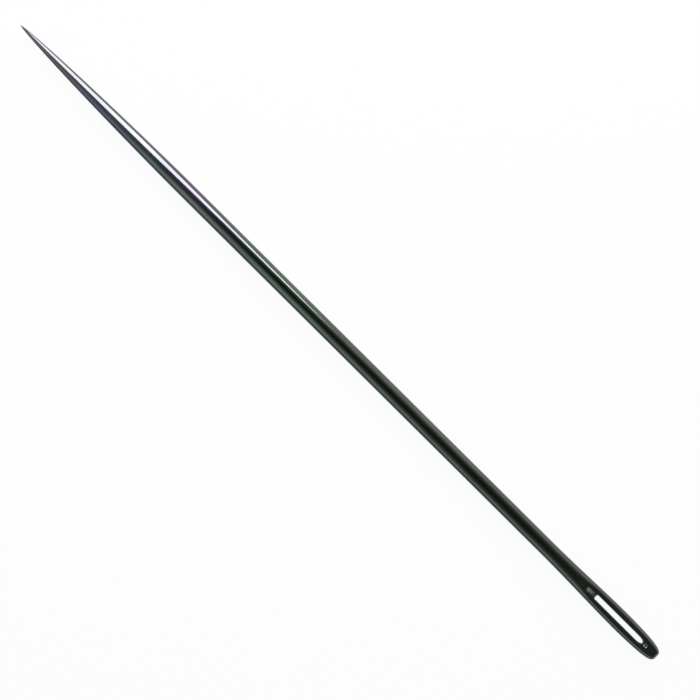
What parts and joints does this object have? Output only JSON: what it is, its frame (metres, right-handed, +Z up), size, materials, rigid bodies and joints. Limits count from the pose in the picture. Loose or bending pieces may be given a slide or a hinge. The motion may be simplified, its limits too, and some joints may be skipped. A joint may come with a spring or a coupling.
{
  "type": "long hand sewing needle",
  "caption": "Long round steel hand sewing needle with a tapered sharp point and a flattened, blunt-nosed head pierced by a long narrow thread eye.",
  "frame": {"origin": "centre of the needle's length and width, on the plane that its round shank lies on", "axes": "+X along the needle from the point towards the eye, +Z up, out of the head's upper flat and through the eye"},
  "size_m": [0.15, 0.0034, 0.0028],
  "materials": {
    "polished_steel": "polished"
  },
  "bodies": {
    "root": {"shank": "polished_steel", "head": "polished_steel"}
  },
  "joints": []
}
